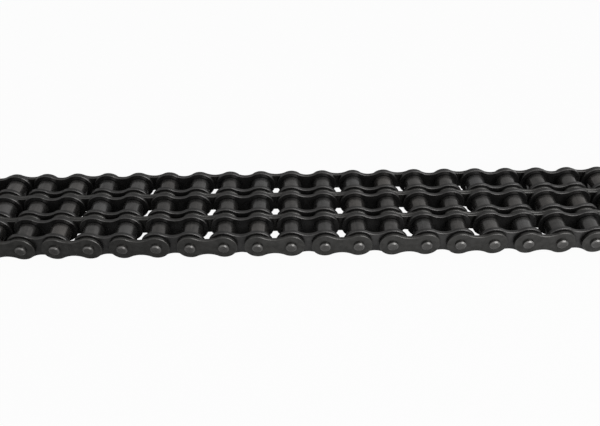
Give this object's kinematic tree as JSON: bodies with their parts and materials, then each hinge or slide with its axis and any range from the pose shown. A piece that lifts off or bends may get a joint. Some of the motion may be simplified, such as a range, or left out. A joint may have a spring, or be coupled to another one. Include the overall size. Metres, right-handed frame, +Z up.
{
  "type": "triplex roller chain",
  "caption": "Straight length of triplex roller chain with waisted link plates, riveted pins, bushes and free rollers, which wraps sprockets to carry power between shafts.",
  "frame": {"origin": "middle of the chain's length and width, on the surface that its roller links' plates stand on", "axes": "+X along the chain, +Y along the pins away from the picture's viewer, +Z up"},
  "size_m": [0.3482, 0.0532, 0.0148],
  "materials": {
    "inner_plate_steel": "dark oiled steel, satin, with rubbed edges",
    "outer_plate_steel": "dark oiled steel, satin, with rubbed edges",
    "pin_steel": "dark steel with riveted ends, a little brighter than the plates",
    "roller_steel": "dark oiled steel with fine turning lines"
  },
  "bodies": {
    "roller_link_01": {"roller_link_01": "inner_plate_steel"},
    "roller_link_02": {"roller_link_02": "inner_plate_steel"},
    "roller_link_03": {"roller_link_03": "inner_plate_steel"},
    "roller_link_04": {"roller_link_04": "inner_plate_steel"},
    "roller_link_05": {"roller_link_05": "inner_plate_steel"},
    "roller_link_06": {"roller_link_06": "inner_plate_steel"},
    "roller_link_07": {"roller_link_07": "inner_plate_steel"},
    "roller_link_08": {"roller_link_08": "inner_plate_steel"},
    "roller_link_09": {"roller_link_09": "inner_plate_steel"},
    "roller_link_10": {"roller_link_10": "inner_plate_steel"},
    "roller_link_11": {"roller_link_11": "inner_plate_steel"},
    "pin_link_01": {"pin_link_plates_01": "outer_plate_steel", "pin_link_pins_01": "pin_steel"},
    "pin_link_02": {"pin_link_plates_02": "outer_plate_steel", "pin_link_pins_02": "pin_steel"},
    "pin_link_03": {"pin_link_plates_03": "outer_plate_steel", "pin_link_pins_03": "pin_steel"},
    "pin_link_04": {"pin_link_plates_04": "outer_plate_steel", "pin_link_pins_04": "pin_steel"},
    "pin_link_05": {"pin_link_plates_05": "outer_plate_steel", "pin_link_pins_05": "pin_steel"},
    "pin_link_06": {"pin_link_plates_06": "outer_plate_steel", "pin_link_pins_06": "pin_steel"},
    "pin_link_07": {"pin_link_plates_07": "outer_plate_steel", "pin_link_pins_07": "pin_steel"},
    "pin_link_08": {"pin_link_plates_08": "outer_plate_steel", "pin_link_pins_08": "pin_steel"},
    "pin_link_09": {"pin_link_plates_09": "outer_plate_steel", "pin_link_pins_09": "pin_steel"},
    "pin_link_10": {"pin_link_plates_10": "outer_plate_steel", "pin_link_pins_10": "pin_steel"},
    "roller_row_01": {"roller_row_01": "roller_steel"},
    "roller_row_02": {"roller_row_02": "roller_steel"},
    "roller_row_03": {"roller_row_03": "roller_steel"},
    "roller_row_04": {"roller_row_04": "roller_steel"},
    "roller_row_05": {"roller_row_05": "roller_steel"},
    "roller_row_06": {"roller_row_06": "roller_steel"},
    "roller_row_07": {"roller_row_07": "roller_steel"},
    "roller_row_08": {"roller_row_08": "roller_steel"},
    "roller_row_09": {"roller_row_09": "roller_steel"},
    "roller_row_10": {"roller_row_10": "roller_steel"},
    "roller_row_11": {"roller_row_11": "roller_steel"},
    "roller_row_12": {"roller_row_12": "roller_steel"},
    "roller_row_13": {"roller_row_13": "roller_steel"},
    "roller_row_14": {"roller_row_14": "roller_steel"},
    "roller_row_15": {"roller_row_15": "roller_steel"},
    "roller_row_16": {"roller_row_16": "roller_steel"},
    "roller_row_17": {"roller_row_17": "roller_steel"},
    "roller_row_18": {"roller_row_18": "roller_steel"},
    "roller_row_19": {"roller_row_19": "roller_steel"},
    "roller_row_20": {"roller_row_20": "roller_steel"},
    "roller_row_21": {"roller_row_21": "roller_steel"},
    "roller_row_22": {"roller_row_22": "roller_steel"}
  },
  "joints": [
    {"name": "hinge_pin_12", "type": "hinge", "parent": "roller_link_06", "child": "pin_link_06", "pos_m": [0.00794, 0, 0.0074], "axis": [0, -1, 0], "range_deg": [-90, 90]},
    {"name": "hinge_pin_13", "type": "hinge", "parent": "pin_link_06", "child": "roller_link_07", "pos_m": [0.02381, 0, 0.0074], "axis": [0, 1, 0], "range_deg": [-90, 90]},
    {"name": "hinge_pin_14", "type": "hinge", "parent": "roller_link_07", "child": "pin_link_07", "pos_m": [0.03969, 0, 0.0074], "axis": [0, -1, 0], "range_deg": [-90, 90]},
    {"name": "hinge_pin_15", "type": "hinge", "parent": "pin_link_07", "child": "roller_link_08", "pos_m": [0.05556, 0, 0.0074], "axis": [0, 1, 0], "range_deg": [-90, 90]},
    {"name": "hinge_pin_16", "type": "hinge", "parent": "roller_link_08", "child": "pin_link_08", "pos_m": [0.07144, 0, 0.0074], "axis": [0, -1, 0], "range_deg": [-90, 90]},
    {"name": "hinge_pin_17", "type": "hinge", "parent": "pin_link_08", "child": "roller_link_09", "pos_m": [0.08731, 0, 0.0074], "axis": [0, 1, 0], "range_deg": [-90, 90]},
    {"name": "hinge_pin_18", "type": "hinge", "parent": "roller_link_09", "child": "pin_link_09", "pos_m": [0.10319, 0, 0.0074], "axis": [0, -1, 0], "range_deg": [-90, 90]},
    {"name": "hinge_pin_19", "type": "hinge", "parent": "pin_link_09", "child": "roller_link_10", "pos_m": [0.11906, 0, 0.0074], "axis": [0, 1, 0], "range_deg": [-90, 90]},
    {"name": "hinge_pin_20", "type": "hinge", "parent": "roller_link_10", "child": "pin_link_10", "pos_m": [0.13494, 0, 0.0074], "axis": [0, -1, 0], "range_deg": [-90, 90]},
    {"name": "hinge_pin_21", "type": "hinge", "parent": "pin_link_10", "child": "roller_link_11", "pos_m": [0.15081, 0, 0.0074], "axis": [0, 1, 0], "range_deg": [-90, 90]},
    {"name": "hinge_pin_11", "type": "hinge", "parent": "roller_link_06", "child": "pin_link_05", "pos_m": [-0.00794, 0, 0.0074], "axis": [0, -1, 0], "range_deg": [-90, 90]},
    {"name": "hinge_pin_10", "type": "hinge", "parent": "pin_link_05", "child": "roller_link_05", "pos_m": [-0.02381, 0, 0.0074], "axis": [0, 1, 0], "range_deg": [-90, 90]},
    {"name": "hinge_pin_09", "type": "hinge", "parent": "roller_link_05", "child": "pin_link_04", "pos_m": [-0.03969, 0, 0.0074], "axis": [0, -1, 0], "range_deg": [-90, 90]},
    {"name": "hinge_pin_08", "type": "hinge", "parent": "pin_link_04", "child": "roller_link_04", "pos_m": [-0.05556, 0, 0.0074], "axis": [0, 1, 0], "range_deg": [-90, 90]},
    {"name": "hinge_pin_07", "type": "hinge", "parent": "roller_link_04", "child": "pin_link_03", "pos_m": [-0.07144, 0, 0.0074], "axis": [0, -1, 0], "range_deg": [-90, 90]},
    {"name": "hinge_pin_06", "type": "hinge", "parent": "pin_link_03", "child": "roller_link_03", "pos_m": [-0.08731, 0, 0.0074], "axis": [0, 1, 0], "range_deg": [-90, 90]},
    {"name": "hinge_pin_05", "type": "hinge", "parent": "roller_link_03", "child": "pin_link_02", "pos_m": [-0.10319, 0, 0.0074], "axis": [0, -1, 0], "range_deg": [-90, 90]},
    {"name": "hinge_pin_04", "type": "hinge", "parent": "pin_link_02", "child": "roller_link_02", "pos_m": [-0.11906, 0, 0.0074], "axis": [0, 1, 0], "range_deg": [-90, 90]},
    {"name": "hinge_pin_03", "type": "hinge", "parent": "roller_link_02", "child": "pin_link_01", "pos_m": [-0.13494, 0, 0.0074], "axis": [0, -1, 0], "range_deg": [-90, 90]},
    {"name": "hinge_pin_02", "type": "hinge", "parent": "pin_link_01", "child": "roller_link_01", "pos_m": [-0.15081, 0, 0.0074], "axis": [0, 1, 0], "range_deg": [-90, 90]},
    {"name": "spin_rollers_01", "type": "hinge", "parent": "roller_link_01", "child": "roller_row_01", "pos_m": [-0.16669, 0, 0.0074], "axis": [0, 1, 0], "continuous": true},
    {"name": "spin_rollers_02", "type": "hinge", "parent": "roller_link_01", "child": "roller_row_02", "pos_m": [-0.15081, 0, 0.0074], "axis": [0, 1, 0], "continuous": true},
    {"name": "spin_rollers_03", "type": "hinge", "parent": "roller_link_02", "child": "roller_row_03", "pos_m": [-0.13494, 0, 0.0074], "axis": [0, 1, 0], "continuous": true},
    {"name": "spin_rollers_04", "type": "hinge", "parent": "roller_link_02", "child": "roller_row_04", "pos_m": [-0.11906, 0, 0.0074], "axis": [0, 1, 0], "continuous": true},
    {"name": "spin_rollers_05", "type": "hinge", "parent": "roller_link_03", "child": "roller_row_05", "pos_m": [-0.10319, 0, 0.0074], "axis": [0, 1, 0], "continuous": true},
    {"name": "spin_rollers_06", "type": "hinge", "parent": "roller_link_03", "child": "roller_row_06", "pos_m": [-0.08731, 0, 0.0074], "axis": [0, 1, 0], "continuous": true},
    {"name": "spin_rollers_07", "type": "hinge", "parent": "roller_link_04", "child": "roller_row_07", "pos_m": [-0.07144, 0, 0.0074], "axis": [0, 1, 0], "continuous": true},
    {"name": "spin_rollers_08", "type": "hinge", "parent": "roller_link_04", "child": "roller_row_08", "pos_m": [-0.05556, 0, 0.0074], "axis": [0, 1, 0], "continuous": true},
    {"name": "spin_rollers_09", "type": "hinge", "parent": "roller_link_05", "child": "roller_row_09", "pos_m": [-0.03969, 0, 0.0074], "axis": [0, 1, 0], "continuous": true},
    {"name": "spin_rollers_10", "type": "hinge", "parent": "roller_link_05", "child": "roller_row_10", "pos_m": [-0.02381, 0, 0.0074], "axis": [0, 1, 0], "continuous": true},
    {"name": "spin_rollers_11", "type": "hinge", "parent": "roller_link_06", "child": "roller_row_11", "pos_m": [-0.00794, 0, 0.0074], "axis": [0, 1, 0], "continuous": true},
    {"name": "spin_rollers_12", "type": "hinge", "parent": "roller_link_06", "child": "roller_row_12", "pos_m": [0.00794, 0, 0.0074], "axis": [0, 1, 0], "continuous": true},
    {"name": "spin_rollers_13", "type": "hinge", "parent": "roller_link_07", "child": "roller_row_13", "pos_m": [0.02381, 0, 0.0074], "axis": [0, 1, 0], "continuous": true},
    {"name": "spin_rollers_14", "type": "hinge", "parent": "roller_link_07", "child": "roller_row_14", "pos_m": [0.03969, 0, 0.0074], "axis": [0, 1, 0], "continuous": true},
    {"name": "spin_rollers_15", "type": "hinge", "parent": "roller_link_08", "child": "roller_row_15", "pos_m": [0.05556, 0, 0.0074], "axis": [0, 1, 0], "continuous": true},
    {"name": "spin_rollers_16", "type": "hinge", "parent": "roller_link_08", "child": "roller_row_16", "pos_m": [0.07144, 0, 0.0074], "axis": [0, 1, 0], "continuous": true},
    {"name": "spin_rollers_17", "type": "hinge", "parent": "roller_link_09", "child": "roller_row_17", "pos_m": [0.08731, 0, 0.0074], "axis": [0, 1, 0], "continuous": true},
    {"name": "spin_rollers_18", "type": "hinge", "parent": "roller_link_09", "child": "roller_row_18", "pos_m": [0.10319, 0, 0.0074], "axis": [0, 1, 0], "continuous": true},
    {"name": "spin_rollers_19", "type": "hinge", "parent": "roller_link_10", "child": "roller_row_19", "pos_m": [0.11906, 0, 0.0074], "axis": [0, 1, 0], "continuous": true},
    {"name": "spin_rollers_20", "type": "hinge", "parent": "roller_link_10", "child": "roller_row_20", "pos_m": [0.13494, 0, 0.0074], "axis": [0, 1, 0], "continuous": true},
    {"name": "spin_rollers_21", "type": "hinge", "parent": "roller_link_11", "child": "roller_row_21", "pos_m": [0.15081, 0, 0.0074], "axis": [0, 1, 0], "continuous": true},
    {"name": "spin_rollers_22", "type": "hinge", "parent": "roller_link_11", "child": "roller_row_22", "pos_m": [0.16669, 0, 0.0074], "axis": [0, 1, 0], "continuous": true}
  ]
}
